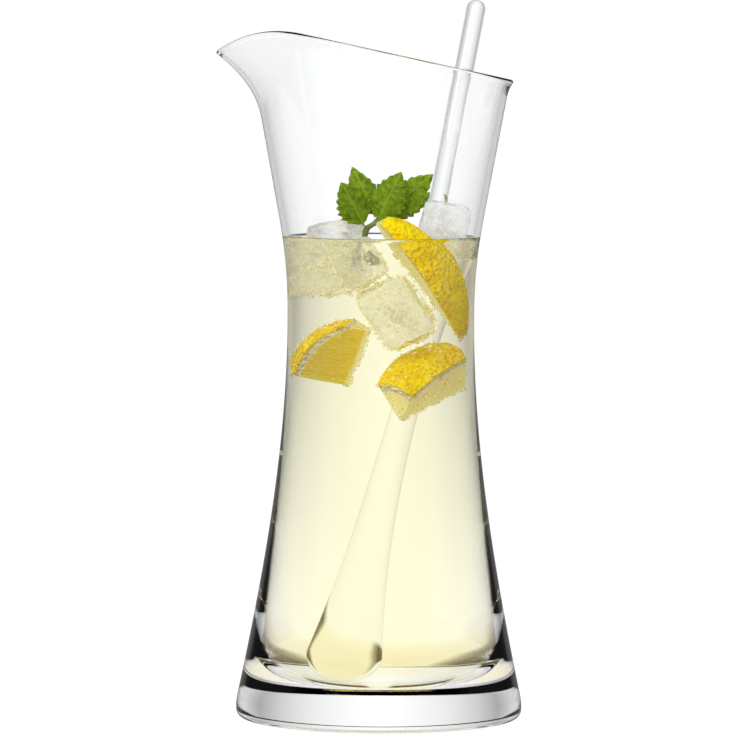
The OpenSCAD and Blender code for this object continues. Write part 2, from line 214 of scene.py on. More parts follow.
def revolved(profile, count, centre=(0, 0)):
    """Points of a profile of radius and height turned round the upright axis.

    A first or last radius of nought becomes one pole point.
    """
    profile = np.asarray(profile, float)
    first, last = profile[0, 0] == 0, profile[-1, 0] == 0
    rings = profile[1 if first else 0: len(profile) - 1 if last else None]
    turn = np.arange(count) * TURN / count
    x = centre[0] + rings[:, :1] * np.cos(turn)
    y = centre[1] + rings[:, :1] * np.sin(turn)
    z = np.repeat(rings[:, 1:], count, 1)
    points = np.stack([x, y, z], -1).reshape(-1, 3)
    poles = [None, None]
    if first:
        poles[0] = len(points)
        points = np.vstack([points, [centre[0], centre[1], profile[0, 1]]])
    if last:
        poles[1] = len(points)
        points = np.vstack([points, [centre[0], centre[1], profile[-1, 1]]])
    return points, grid_faces(len(rings), count, poles=poles)


def placed_along(points, at, along, toward):
    """Turns points made along +Z so that +Z runs along a way and +X faces another."""
    z = np.asarray(along, float)
    z = z / np.linalg.norm(z)
    y = np.cross(z, toward)
    y = y / np.linalg.norm(y)
    x = np.cross(y, z)
    return np.asarray(points) @ np.array([x, y, z]) + np.asarray(at, float)


def turned(points, at, degrees):
    """Turns points about X, then Y, then Z, and moves them to a place."""
    spin = np.array(Euler([math.radians(d) for d in degrees], "XYZ").to_matrix())
    return np.asarray(points) @ spin.T + np.asarray(at, float)


def waves(points, seed, size, layers=3):
    """Smooth unevenness between about -1 and 1 at each point.

    Each layer adds seven sine waves that run in fixed random directions; the next layer is
    half as long and half as high.
    """
    draw = np.random.default_rng(seed)
    total = np.zeros(len(points))
    for layer in range(layers):
        ways = draw.normal(size=(7, 3))
        ways /= np.linalg.norm(ways, axis=1)[:, None]
        shift = draw.uniform(0, TURN, 7)
        run = np.asarray(points) @ ways.T * (TURN * 2 ** layer / size) + shift
        total += np.sin(run).sum(1) / 7 * 1.6 / 2 ** layer
    return total / 1.5


# ---------------------------------------------------------------- materials

def new_material(name):
    """A material with a Principled shader; returns the material, its tree and that shader."""
    material = bpy.data.materials.new(name)
    material.use_nodes = True
    return material, material.node_tree, material.node_tree.nodes["Principled BSDF"]


def put(tree, socket, value):
    """Links another socket, or a node's first output, or sets the socket's own value."""
    if isinstance(value, bpy.types.Node):
        value = value.outputs[0]
    if isinstance(value, bpy.types.NodeSocket):
        tree.links.new(value, socket)
    else:
        socket.default_value = (*value, 1) if socket.type == "RGBA" else value


def feed(tree, made, **sockets):
    """Feeds sockets by their names, with _ for a space."""
    for key, value in sockets.items():
        put(tree, made.inputs[key.replace("_", " ")], value)


def node(tree, kind, *values, **named):
    """Adds a node in the next place of a grid six wide. Plain values feed its sockets in
    order, a name with a capital is a socket, and any other name is an option."""
    made = tree.nodes.new(kind)
    count = len(tree.nodes)
    made.location = (count % 6 * 220 - 1300, -count // 6 * 320)
    for key, value in named.items():
        if key[0].islower():
            setattr(made, key, value)
    for socket, value in zip(made.inputs, values):
        put(tree, socket, value)
    feed(tree, made, **{key: value for key, value in named.items() if key[0].isupper()})
    return made


def maths(tree, operation, *values, **options):
    """The value of one step of arithmetic."""
    return node(tree, "ShaderNodeMath", *values, operation=operation, **options).outputs[0]


def vector_maths(tree, operation, *values, output="Vector"):
    """The result of one step of arithmetic with vectors."""
    made = node(tree, "ShaderNodeVectorMath", *values, operation=operation)
    return made.outputs[output]


def blended(tree, share, first, second, **options):
    """One colour or vector towards another by a share."""
    options = {"data_type": "RGBA", **options}
    return node(tree, "ShaderNodeMix", Factor=share, A=first, B=second,
                **options).outputs["Result"]


def shown_or(tree, share, first, second):
    """One shader towards another by a share."""
    return node(tree, "ShaderNodeMixShader", share, first, second)


def ramp(tree, source, *stops):
    """A colour ramp fed by a socket, with stops of a position and a colour or a grey."""
    made = node(tree, "ShaderNodeValToRGB", source)
    elements = made.color_ramp.elements
    while len(elements) < len(stops):
        elements.new(0.5)
    for element, (position, colour) in zip(elements, stops):
        element.position = position
        element.color = (*(colour if hasattr(colour, "__len__") else (colour,) * 3), 1)
    return made.outputs[0]


def bumped(tree, shader, height, strength, distance):
    """Feeds a height through a Bump node into the shader's normal."""
    made = node(tree, "ShaderNodeBump", Strength=strength, Distance=distance, Height=height)
    feed(tree, shader, Normal=made)
    return made


def surface_grain():
    """The node group of fine unevenness: two sizes of noise and small pits, as one value."""
    name = "surface_grain"
    if name in bpy.data.node_groups:
        return bpy.data.node_groups[name]
    tree = bpy.data.node_groups.new(name, "ShaderNodeTree")
    for label, default in (("Coarse Size", 40.0), ("Fine Size", 400.0), ("Pit Size", 900.0),
                           ("Pits", 0.0)):
        socket = tree.interface.new_socket(label, in_out="INPUT", socket_type="NodeSocketFloat")
        socket.default_value = default
    for label in ("Height", "Patches"):
        tree.interface.new_socket(label, in_out="OUTPUT", socket_type="NodeSocketFloat")
    sizes = node(tree, "NodeGroupInput").outputs
    place = node(tree, "ShaderNodeTexCoord").outputs["Object"]
    coarse = node(tree, "ShaderNodeTexNoise", Vector=place, Scale=sizes["Coarse Size"],
                  Detail=3.0).outputs["Fac"]
    fine = node(tree, "ShaderNodeTexNoise", Vector=place, Scale=sizes["Fine Size"],
                Detail=2.0).outputs["Fac"]
    pits = node(tree, "ShaderNodeTexVoronoi", feature="SMOOTH_F1", Vector=place,
                Scale=sizes["Pit Size"]).outputs["Distance"]
    both = maths(tree, "MULTIPLY_ADD", fine, 0.35, coarse)
    holes = maths(tree, "MULTIPLY", pits, sizes["Pits"])
    node(tree, "NodeGroupOutput", Height=maths(tree, "ADD", both, holes), Patches=coarse)
    return tree


def grain(tree, coarse, fine, pit=900.0, pits=0.0):
    """Places the node group of fine unevenness with its own sizes; returns its outputs."""
    return node(tree, "ShaderNodeGroup", node_tree=surface_grain(), Coarse_Size=coarse,
                Fine_Size=fine, Pit_Size=pit, Pits=pits).outputs


def masked(tree, attribute):
    """A number that the piece's points carry."""
    return node(tree, "ShaderNodeAttribute", attribute_name=attribute).outputs["Fac"]


def clear_material(name, ior, tint=(1, 1, 1), coarse=30.0, fine=160.0, bump=0.03,
                   roughness=0.0, distance=0.001, pits=0.0, pit=900.0, clear=1.0,
                   quiet=False):
    """A clear material, or a slightly cloudy one, with a slight unevenness of its surface.

    A quiet one mirrors nothing where it is seen face on, as glass does in front of a dark
    part of a studio. Rays from the lamps go straight through, less a little, so that what
    is behind is lit.
    """
    material, tree, shader = new_material(name)
    feed(tree, shader, Base_Color=tint, Transmission_Weight=clear, Roughness=roughness,
         IOR=ior)
    height = grain(tree, coarse, fine, pit, pits)["Height"]
    normal = bumped(tree, shader, height, bump, distance)
    seen = shader
    if quiet:
        only = node(tree, "ShaderNodeBsdfRefraction", Color=tint, IOR=ior, Roughness=0.0,
                    Normal=normal)
        facing = node(tree, "ShaderNodeLayerWeight", Blend=0.5).outputs["Facing"]
        seen = shown_or(tree, ramp(tree, facing, (0.14, 0), (0.24, 1)), only, shader)
    through = node(tree, "ShaderNodeBsdfTransparent", Color=LAMP_PASSES)
    shadow = node(tree, "ShaderNodeLightPath").outputs["Is Shadow Ray"]
    feed(tree, tree.nodes["Material Output"], Surface=shown_or(tree, shadow, seen, through))
    return material


def peel_material(s):
    """Lemon peel: yellow zest with oil pores outside and pale pith under it.

    The number 'depth' runs from 0 at the skin to 1 at the rind's inner side.
    """
    material, tree, shader = new_material("lemon_peel")
    pores = grain(tree, 150.0, 600.0, 650.0, 1.6)
    zest = ramp(tree, pores["Patches"], (0.3, s.peel_dark), (0.62, s.peel_light))
    pith = ramp(tree, pores["Patches"], (0.3, s.pith_dark), (0.7, s.pith))
    deep = ramp(tree, masked(tree, "depth"), (0.2, 0), (0.36, 1))
    yellow = blended(tree, deep, zest, pith)
    # painted light: the peel glows with its own yellow, at half the flesh's glow
    feed(tree, shader, Base_Color=yellow, Emission_Color=yellow,
         Emission_Strength=s.painted_lemon_glow / 2, Roughness=0.38, Specular_IOR_Level=0.06,
         Subsurface_Weight=0.25, Subsurface_Radius=(1.0, 0.7, 0.2), Subsurface_Scale=0.002)
    bumped(tree, shader, pores["Height"], 1.0, 0.0014)
    return material


def flesh_material(s):
    """Lemon flesh: long juice sacs that run out from the core, and pale skins between them.

    The UV map is the place across the sacs and the way out from the core, in mm. The number
    'skin' is 1 on the skins round each segment, and 'pale' is how pale a wedge is.
    """
    material, tree, shader = new_material("lemon_flesh")
    place = node(tree, "ShaderNodeUVMap", uv_map="UVMap")
    stretch = node(tree, "ShaderNodeMapping", Vector=place, Scale=(0.9, 0.16, 1))
    sway = node(tree, "ShaderNodeTexNoise", Vector=place, Scale=0.5).outputs["Color"]
    bent = blended(tree, 0.3, stretch, sway, data_type="VECTOR")
    sacs = node(tree, "ShaderNodeTexVoronoi", feature="DISTANCE_TO_EDGE",
                voronoi_dimensions="2D", Vector=bent, Scale=1.15).outputs["Distance"]
    pulp = ramp(tree, sacs, (0.0, s.flesh_line), (0.12, s.flesh), (0.8, s.flesh_deep))
    ripe = blended(tree, masked(tree, "pale"), pulp, s.flesh_pale)
    yellow = blended(tree, masked(tree, "skin"), ripe, s.pith)
    # painted light: the flesh glows with its own yellow, in place of light that comes through
    # it
    feed(tree, shader, Base_Color=yellow, Emission_Color=yellow,
         Emission_Strength=s.painted_lemon_glow, Roughness=0.3, Specular_IOR_Level=0.06,
         Subsurface_Weight=0.9, Subsurface_Radius=(1.0, 0.9, 0.4), Subsurface_Scale=0.009)
    bumped(tree, shader, ramp(tree, sacs, (0.0, 0), (0.35, 1)), 0.3, 0.0004)
    return material


def leaf_material(s):
    """Mint leaf: green, paler along the veins, puckered between them."""
    material, tree, shader = new_material("mint_leaf")
    fine = grain(tree, 500.0, 1800.0, 1500.0, 0.8)
    green = ramp(tree, fine["Patches"], (0.2, s.leaf_dark), (0.64, s.leaf))
    feed(tree, shader, Base_Color=blended(tree, masked(tree, "vein"), green, s.vein),
         Roughness=0.42, Specular_IOR_Level=0.04, Subsurface_Weight=0.35,
         Subsurface_Radius=(0.5, 1.0, 0.2), Subsurface_Scale=0.001)
    bumped(tree, shader, fine["Height"], 0.6, 0.0006)
    return material


def stem_material(s):
    """Mint stem: green, browner where it was cut, with fine unevenness."""
    material, tree, shader = new_material("mint_stem")
    fine = grain(tree, 200.0, 800.0)
    green = ramp(tree, fine["Patches"], (0.3, s.stem_dark), (0.7, s.stem))
    feed(tree, shader, Base_Color=blended(tree, masked(tree, "cut"), green, s.stem_cut),
         Roughness=0.5)
    bumped(tree, shader, fine["Height"], 0.3, 0.0004)
    return material


def frost_material(name, cracked, cloudy, start, haze_most, line_most):
    """Fine white cracks and clouds in the ice: white where a mask of noise lets it show."""
    material, tree, shader = new_material(name)
    place = node(tree, "ShaderNodeTexCoord").outputs["Object"]
    cracks = node(tree, "ShaderNodeTexVoronoi", feature="DISTANCE_TO_EDGE", Vector=place,
                  Scale=cracked).outputs["Distance"]
    cloud = node(tree, "ShaderNodeTexNoise", Vector=place, Scale=cloudy, Detail=6.0,
                 Roughness=0.7).outputs["Fac"]
    lines = ramp(tree, cracks, (0.0, line_most), (0.05, 0))
    haze = ramp(tree, cloud, (start, 0), (start + 0.25, haze_most))
    feed(tree, shader, Alpha=maths(tree, "MAXIMUM", lines, haze),
         Base_Color=(0.97, 0.97, 0.94), Roughness=0.4)
    return material


def drink_material(s):
    """The drink: clear, with a plain absorption that turns deep places yellow."""
    material = clear_material("drink", s.ior, coarse=60.0, fine=300.0, bump=0.01)
    tree = material.node_tree
    absorb = node(tree, "ShaderNodeVolumeAbsorption", Color=s.colour, Density=s.density)
    feed(tree, tree.nodes["Material Output"], Volume=absorb)
    return material


# ---------------------------------------------------------------- pitcher

def outer_radius(z):
    """Outside of the round body: a hyperbola below the waist; above it a bend that turns
    into a straight cone."""
    z = np.asarray(z, float)
    flare = bpy.context.scene.pitcher_glass.flare
    low = np.sqrt(WAIST_R ** 2 + SPREAD * (WAIST_Z - np.minimum(z, WAIST_Z)) ** 2)
    bend = np.clip((z - BEND_Z) / BEND_RUN, 0, 1)
    high = WAIST_R + flare * BEND_RUN / 2 * bend ** 2 \
        + flare * np.maximum(z - BEND_Z - BEND_RUN, 0)
    return np.where(z < WAIST_Z, low, high)


def inner_radius(z, wall):
    """Inside of the round body: a straight bore to the waist, then one wall in."""
    return np.where(np.asarray(z) < WAIST_Z, BORE_R, outer_radius(z) - wall)


def beaked_radius(off, r, pull, tip):
    """Radius of a circle with a rounded beak: the circle, two straight tangents and a small
    circle whose far side is pulled out, by the angle off the beak."""
    far = r + pull - tip
    touch = np.arccos(np.minimum((r - tip) / far, 0.99999))
    tip_touch = np.arctan2(tip * np.sin(touch), far + tip * np.cos(touch))
    beak = far * np.cos(off) + np.sqrt(np.maximum(tip ** 2 - (far * np.sin(off)) ** 2, 0))
    line = r / np.cos(np.minimum(np.abs(off - touch), 1.2))
    return np.where(off > touch, r, np.where(off < tip_touch, beak, line))


def upper_radius(s, off, z, top):
    """Outside of the upper wall: the cone, plus the lip's turn by the square of the height
    into the lip, with a beak that grows by a power of the height above its start."""
    below = top - z
    turn = s.lip_turn / MM * np.clip(1 - below / LIP_RUN, 0, None) ** 2
    pull = s.spout_reach / MM * np.maximum(0, (z - SPOUT_Z) / SPOUT_CLIMB) ** SPOUT_CURVE
    r = outer_radius(z) + turn
    tip = s.spout_tip / MM + 30 * np.clip(below / SPOUT_CLIMB, 0, 1)
    return beaked_radius(off, r, np.maximum(pull - turn, 1e-4), np.minimum(tip, r - 1))


def rim_tops(s, turn, off):
    """Height of the rim round the mouth: a tilted plane that drops off toward the spout's
    tip, found by repeating because the radius depends on it."""
    top = np.full(len(turn), s.height / MM - 13)
    for _ in range(50):
        x = upper_radius(s, off, top, top) * np.cos(turn)
        plane = s.height / MM - RIM_BELOW_TOP - math.tan(s.rim_angle) * x \
            - RIM_DROP * np.maximum(0, (-RIM_DROP_AT - x) / RIM_DROP_RUN) ** SPOUT_CURVE
        top = (top + plane) / 2
    return top


def pitcher_rings(s):
    """Rings of the whole glass, from the middle of its foot up the outside, over the round
    rim and down the inside to the middle of the floor.

    Each is a radius and a height all round, with the turns closer together at the spout.
    """
    wall = s.wall / MM
    half = 110
    step = np.arange(-half, half)
    turn = math.pi + np.sign(step) * math.pi * (np.abs(step) / half) ** 1.4
    off = np.abs(turn - math.pi)
    top = rim_tops(s, turn, off)
    edge = top - wall / 2
    one = np.ones(len(turn))
    foot = float(outer_radius(2 * FOOT_ROUND)) - FOOT_ROUND
    rings = [(r * one, 0 * one) for r in np.linspace(4, foot, 8)]
    corner = np.radians(np.linspace(-81, -9, 9))
    rings += [((foot + FOOT_ROUND * math.cos(a)) * one, FOOT_ROUND * (1 + math.sin(a)) * one)
              for a in corner]
    rings += [(float(outer_radius(max(z, 2 * FOOT_ROUND))) * one, z * one)
              for z in np.linspace(FOOT_ROUND, UPPER_Z, 92)]
    shares = np.linspace(0, 1, 46)[1:]
    for share in shares:
        z = UPPER_Z + (edge - UPPER_Z) * share
        rings.append((upper_radius(s, off, z, top), z))
    lip = upper_radius(s, off, edge, top) - wall / 2
    rings += [(lip + wall / 2 * math.cos(a), edge + wall / 2 * math.sin(a))
              for a in np.radians(np.linspace(18, 162, 9))]
    for share in shares[::-1]:
        z = UPPER_Z + (edge - UPPER_Z) * share
        rings.append((upper_radius(s, off, z, top) - wall, z))
    rings += [(float(inner_radius(z, wall)) * one, z * one)
              for z in np.linspace(UPPER_Z, FLOOR_Z + BORE_ROUND, 78)]
    rings += [((BORE_R - BORE_ROUND + BORE_ROUND * math.cos(a)) * one,
               (FLOOR_Z + BORE_ROUND - BORE_ROUND * math.sin(a)) * one)
              for a in np.radians(np.linspace(0, 90, 14)[1:])]
    rings += [(r * one, FLOOR_Z * one) for r in np.linspace(BORE_R - BORE_ROUND, 4, 5)[1:]]
    r = np.array([ring[0] for ring in rings])
    z = np.array([ring[1] for ring in rings])
    return np.stack([r * np.cos(turn), r * np.sin(turn), z], -1)


def make_pitcher(s):
    """The glass is one closed surface of rings between two pole points."""
    rings = pitcher_rings(s)
    m, n = rings.shape[:2]
    points = np.vstack([rings.reshape(-1, 3), [0, 0, 0], [0, 0, FLOOR_Z]])
    faces = grid_faces(m, n, poles=(m * n, m * n + 1))
    glass = clear_material("clear_glass", GLASS_INDEX, s.tint, coarse=18.0, fine=60.0,
                           bump=s.waviness, quiet=True)
    add_piece("pitcher_glass", points, faces, "pitcher", "pitcher", "pitcher_glass", glass)


# ---------------------------------------------------------------- stirrer

def stirrer_profile(s):
    """Radius and height of the upright stirrer: a round end, a taper by a power of what is
    left of its length, a straight rod and a round tip."""
    drop, rod = s.teardrop / MM / 2, s.rod / MM / 2
    run, length = s.taper / MM, s.length / MM
    a = np.radians(np.linspace(-90, 0, 18))
    end = np.stack([drop * np.cos(a), drop + drop * np.sin(a)], -1)
    t = np.linspace(0, 1, 64)[1:]
    taper = rod + (drop - rod) * (1 - t) ** 2.1 * (1 - 0.15 * np.sin(math.pi * t))
    body = np.stack([taper, drop + (run - drop) * t], -1)
    z = np.linspace(run, length - rod, 40)[1:]
    straight = np.stack([np.full(len(z), rod), z], -1)
    a = np.radians(np.linspace(0, 90, 12))[1:]
    tip = np.stack([rod * np.cos(a), length - rod + rod * np.sin(a)], -1)
    profile = np.vstack([end, body, straight, tip])
    profile[0, 0] = profile[-1, 0] = 0
    return profile


def make_stirrer(s, level):
    """The stirrer leans from the middle of its teardrop, which stands just off the floor."""
    points, faces = revolved(stirrer_profile(s), 72)
    drop = s.teardrop / MM / 2
    points[:, 2] -= drop
    way = (math.sin(STIRRER_LEAN) * math.cos(STIRRER_HEADING),
           math.sin(STIRRER_LEAN) * math.sin(STIRRER_HEADING), math.cos(STIRRER_LEAN))
    points = placed_along(points, (*TEARDROP_AT, FLOOR_Z + STIRRER_GAP + drop), way, (1, 0, 0))
    glass = [clear_material(name, index, fine=90.0, bump=0.02)
             for name, index in (("stirrer_glass", GLASS_INDEX),
                                 ("stirrer_glass_in_drink", s.ior_in_drink))]
    piece = add_piece("stirrer_glass", points, faces, "stirrer", "stirrer", "stirrer_glass",
                      *glass)
    under_level(piece, level)


def under_level(piece, level):
    """Gives the second material to the faces whose middle lies under the drink's surface."""
    mesh = piece.data
    middle = np.empty(len(mesh.polygons) * 3)
    mesh.polygons.foreach_get("center", middle)
    mesh.polygons.foreach_set("material_index", (middle[2::3] < level).astype(int))
    mesh.update()


# ---------------------------------------------------------------- drink

def make_drink(s, wall):
    """The drink fills the bore: its side lies a hair inside the glass, its surface is level
    and climbs the glass at the edge by the square of the nearness."""
    into = SINK_IN_GLASS
    level, climb = s.level / MM, s.meniscus / MM
    a = np.radians(np.linspace(90, 0, 14))
    rounding = np.stack([BORE_R - BORE_ROUND + (BORE_ROUND + into) * np.cos(a),
                         FLOOR_Z + BORE_ROUND - (BORE_ROUND + into) * np.sin(a)], -1)
    z = np.linspace(FLOOR_Z + BORE_ROUND, level + climb, 90)[1:]
    side = np.stack([inner_radius(z, wall) + into, z], -1)
    near = np.linspace(0, 1, 12)[1:]
    edge = side[-1, 0]
    dip = np.stack([edge - 5 * near, level + climb * (1 - near) ** 2.4], -1)
    flat = np.stack([np.linspace(edge - 5, 3, 12)[1:], np.full(11, level)], -1)
    profile = np.vstack([[0, FLOOR_Z - into], rounding, side, dip, flat, [0, level]])
    points, faces = revolved(profile, 160)
    add_piece("drink_liquid", points, faces, "contents", "drink", "drink", drink_material(s))


# ---------------------------------------------------------------- ice

def ice_points(size, seed, s, m, n):
    """A melted block: each direction's radius is that of a box whose corners are rounded by
    a power mean, less dents of smooth unevenness."""
    ways, faces = ball(m, n)
    half = np.asarray(size, float) / 2
    r = (np.abs(ways / half) ** s.squareness).sum(1) ** (-1 / s.squareness)
    points = ways * r[:, None]
    dent = np.clip(0.5 + 0.5 * waves(points, seed, 15, 4), 0, 1.2) * s.dents / MM
    return points * (1 - dent / r)[:, None], faces


def make_ice(s, level):
    """Each block of ice, with a shell of rime just under its faces and cracks inside."""
    cold = {"coarse": 200.0, "fine": 650.0, "bump": 0.8, "pits": 0.7, "pit": 300.0}
    dry = clear_material("ice", 1.31, distance=0.0016, roughness=0.12, clear=0.8, **cold)
    # painted light: the yellow tint of the ice under the drink stands in for yellow light that
    # the lemons scatter into it
    sunk = clear_material("ice_in_drink", s.ior_in_drink, s.tint, distance=0.003,
                          roughness=0.05, clear=0.85, **cold)
    frost = frost_material("ice_frost", 260.0, 220.0, 0.5, 0.6, 0.7)
    white = frost_material("ice_rime", 330.0, 520.0, 0.46, s.rime, s.rime)
    for number, (name, (at, turn, size)) in enumerate(ICE.items()):
        points, faces = ice_points(size, 20 + number, s, 72, 108)
        piece = add_piece(name + "_block", turned(points, at, turn), faces, "contents", name,
                          "ice", dry, sunk)
        under_level(piece, level)
        points, faces = ice_points(size, 20 + number, s, 44, 66)
        add_piece(name + "_rime", turned(points * RIME_SHARE, at, turn), faces, "contents",
                  None, "ice", white)
        points, faces = frost_sheets(number, min(size))
        add_piece(name + "_frost", turned(points, at, turn), faces, "contents", None, "ice",
                  frost)


def frost_sheets(number, room, m=9, n=40):
    """Cracked sheets inside one block: flat closed lenses, each waved out of its plane."""
    draw = np.random.default_rng(60 + number)
    points, faces = [], []
    for sheet in range(4):
        lens, quads = ball(m, n, sheet * (m * n + 2))
        reach = room * draw.uniform(0.28, 0.4)
        lens = lens * (reach, reach * draw.uniform(0.6, 1), 0.08)
        lens[:, 2] += 1.1 * waves(lens * (1, 1, 0), 90 + 7 * number + sheet, 16, 2)
        points.append(turned(lens, draw.uniform(-2, 2, 3), draw.uniform(0, 180, 3)))
        faces += quads
    return np.vstack(points), faces


# ---------------------------------------------------------------- lemon

def lemon_radius(h, r):
    """Radius of a lemon along its length: an ellipse joined to a small nub at each tip."""
    body = r * np.sqrt(np.maximum(1 - (h / (LEMON_HALF * 0.93)) ** 2, 0))
    nub = r * 0.24 * np.sqrt(np.maximum(1 - (h / LEMON_HALF) ** 6, 0))
    return np.maximum(body, nub)


def sheet(r, turn, h):
    """Points of a radius, an angle and a height, broadcast to one grid."""
    return stack(r * np.cos(turn), r * np.sin(turn), h)


def joined(parts):
    """Several open grids as one list of points and faces, each turned to face outwards.

    A part is a grid of points, a matching grid of numbers, and whether its faces turn over.
    """
    points, numbers, faces, start = [], [], [], 0
    for grid, extra, over in parts:
        m, n = grid.shape[:2]
        points.append(grid.reshape(-1, 3))
        numbers.append(extra.reshape(m * n, -1))
        quads = grid_faces(m, n, loop=False, start=start)
        faces += [q[::-1] for q in quads] if over else quads
        start += m * n
    return np.vstack(points), np.vstack(numbers).T, faces


def rind_parts(span, r, thick):
    """The rind of a wedge: skin, inner side, two long cut sides and two ends, each a grid
    between the skin's radius and the radius one thickness in. The number is the depth."""
    h = np.linspace(*span, 70)[:, None]
    turn = np.linspace(-WEDGE_HALF, WEDGE_HALF, 56)
    deep = np.linspace(0, 1, 9)
    skin_r = lemon_radius(h, r)
    low_r = np.maximum(skin_r - thick, CORE_R)
    cut_r = skin_r + (low_r - skin_r) * deep
    all_round, all_long = np.ones(len(turn)), np.ones((len(h), 1))
    parts = [(sheet(skin_r, turn, h), 0 * h * all_round, False),
             (sheet(low_r, turn, h), 1 + 0 * h * all_round, True)]
    parts += [(sheet(cut_r, side, h), all_long * deep, side > 0)
              for side in (-WEDGE_HALF, WEDGE_HALF)]
    parts += [(sheet(cut_r[i][:, None], turn, h[i]), deep[:, None] * all_round, i == 0)
              for i in (0, -1)]
    return parts


def flesh_parts(span, r, thick):
    """The flesh of a wedge: two long cut sides, the side under the rind and two ends.

    The numbers are the place across the sacs, the way out from the core, and the skins
    round each segment.
    """
    h = np.linspace(*span, 80)[:, None]
    turn = np.linspace(-WEDGE_HALF, WEDGE_HALF, 65)
    share = np.linspace(0, 1, 30)
    out_r = np.maximum(lemon_radius(h, r) - thick - 0.05, 0.5)
    radius = CORE_R + (out_r - CORE_R) * share

    def rim_skin(rim, at):
        return np.clip(1 - (rim - at) / 0.7, 0, 1) + np.clip(1.3 - at / 1.6, 0, 1)

    parts = [(sheet(out_r, turn, h), stack(h, out_r + 0 * turn, 0.8), False)]
    for side in (-WEDGE_HALF, WEDGE_HALF):
        grid = sheet(radius, side, h)
        bulge = 0.25 * waves(grid.reshape(-1, 3), 5, 4, 2).reshape(radius.shape)
        bulge *= np.sin(np.pi * share) * np.minimum(
            1, 8 * np.sin(np.pi * (h - span[0]) / (span[1] - span[0])))
        lift = np.array([-math.sin(side), math.cos(side), 0]) * math.copysign(1, side)
        skin = np.clip(rim_skin(out_r, radius), 0, 1)
        parts.append((grid + bulge[..., None] * lift, stack(h, radius, skin), side > 0))
    for i in (0, -1):
        end_r = radius[i][:, None]
        between = np.abs((turn / SEGMENT + 0.25 + 0.5) % 1 - 0.5) * SEGMENT * end_r
        skin = np.clip(rim_skin(out_r[i], end_r) + np.clip(1.4 - between / 0.45, 0, 1), 0, 1)
        parts.append((sheet(end_r, turn, h[i]), stack(turn * 14, end_r, skin), i == 0))
    parts.append((sheet(CORE_R, turn, h), stack(h, CORE_R, 1.0 + 0 * turn), True))
    return parts


def make_lemon(s):
    """Each wedge's peel, a little lumpy, and the pulp inside it."""
    thick = s.rind / MM
    peel, pulp = peel_material(s), flesh_material(s)
    for name, (at, along, toward, span, r, pale) in LEMONS.items():
        points, (depth,), faces = joined(rind_parts(span, r, thick))
        points = placed_along(points + lumps(points, 31, 0.22), at, along, toward)
        weld(add_piece(name + "_peel", points, faces, "contents", name + "_rind",
                       "lemon_rind", peel, depth=depth))
        reach = LEMON_HALF * 0.93 * math.sqrt(1 - ((thick + 1.8) / r) ** 2)
        inner = (max(span[0], -reach), min(span[1], reach))
        points, (across, out, skin), faces = joined(flesh_parts(inner, r, thick))
        weld(add_piece(name + "_pulp", placed_along(points, at, along, toward), faces,
                       "contents", name + "_flesh", "lemon_flesh", pulp,
                       uv=stack(across, out), skin=skin, pale=pale + 0 * skin))


def lumps(points, seed, high):
    """Small moves inwards to make a surface less even, by smooth waves."""
    off = -np.clip(0.5 + 0.5 * waves(points, seed, 13, 3), 0, 1) * high
    level = points * (1, 1, 0)
    return level * (off / np.maximum(np.hypot(*level.T[:2]), 1e-6))[:, None]


# ---------------------------------------------------------------- mint

def leaf_width(t, width, teeth=8):
    """Half the width of a leaf along it: a power of a sine, cut by forward-leaning teeth."""
    tooth = (t * teeth) % 1
    saw = np.where(tooth < 0.72, tooth / 0.72, (1 - tooth) / 0.28)
    body = np.sin(np.pi * (np.maximum(t - 0.06, 0) / 0.94) ** 0.76) ** 0.85
    return np.maximum(width / 2 * body * (0.82 + 0.18 * saw), 0.42)


def leaf_points(length, width, thick, seed):
    """A leaf's two faces: folded along its middle, bent back by the square of the way along,
    puckered between the side veins; the number 'vein', 1 on the veins; and the faces."""
    m, n = LEAF_RINGS, LEAF_ROWS
    t = np.linspace(0, 1, m)[:, None]
    v = np.linspace(-1, 1, n)
    side = np.abs(v)
    half = leaf_width(t, width)
    run = (t - 0.33 * side * (half / length)) * 9
    ribs = np.abs(run % 1 - 0.5) * 2
    vein = np.clip(1 - (1 - ribs) / 0.16, 0, 1) * 0.55 * np.clip(1.2 - side, 0, 1)
    vein = np.maximum(vein, np.clip(1.3 - side * half / 0.35, 0, 1) * 0.9)
    swell = 0.6 * np.sin(np.pi * np.clip(1 - ribs, 0, 1)) ** 0.8 * np.sin(np.pi * side) ** 0.7
    swell = swell * np.clip(half / 3, 0, 1)
    flat = stack(t * length, v * half, 0).reshape(-1, 3)
    wave = waves(flat, seed, 11, 2).reshape(m, n) * 0.5 * side
    wave += waves(flat, seed + 9, 2.6, 2).reshape(m, n) * 0.16 * np.sin(np.pi * side)
    x = -side * half * 0.16 - 0.12 * length * t ** 2 + swell + wave
    up = thick / 2 * np.minimum(1, 6 * (1 - side) + 0.25)
    points = np.vstack([stack(x + lift, v * half, length * t).reshape(-1, 3)
                        for lift in (up, -up)])
    count = m * n
    faces = grid_faces(m, n, loop=False)
    faces += [q[::-1] for q in grid_faces(m, n, loop=False, start=count)]
    index = np.arange(count).reshape(m, n)
    border = np.concatenate([index[0, :-1], index[:-1, -1], index[-1, :0:-1], index[:0:-1, 0]])
    after = np.roll(border, -1)
    faces += np.stack([border, after, after + count, border + count], -1).tolist()
    return points, np.tile(vein.ravel(), 2), faces


def make_mint(s):
    """The leaves, each along its own way, and the stem."""
    green = leaf_material(s)
    for number, (name, (start, end, share, toward)) in enumerate(LEAVES.items()):
        way = np.subtract(end, start)
        points, vein, faces = leaf_points(float(np.linalg.norm(way)), s.width / MM * share,
                                          s.thickness / MM, 40 + number)
        add_piece(name + "_blade", placed_along(points, start, way, toward), faces,
                  "contents", name, "mint_leaf", green, vein=vein)
    make_stem(s)


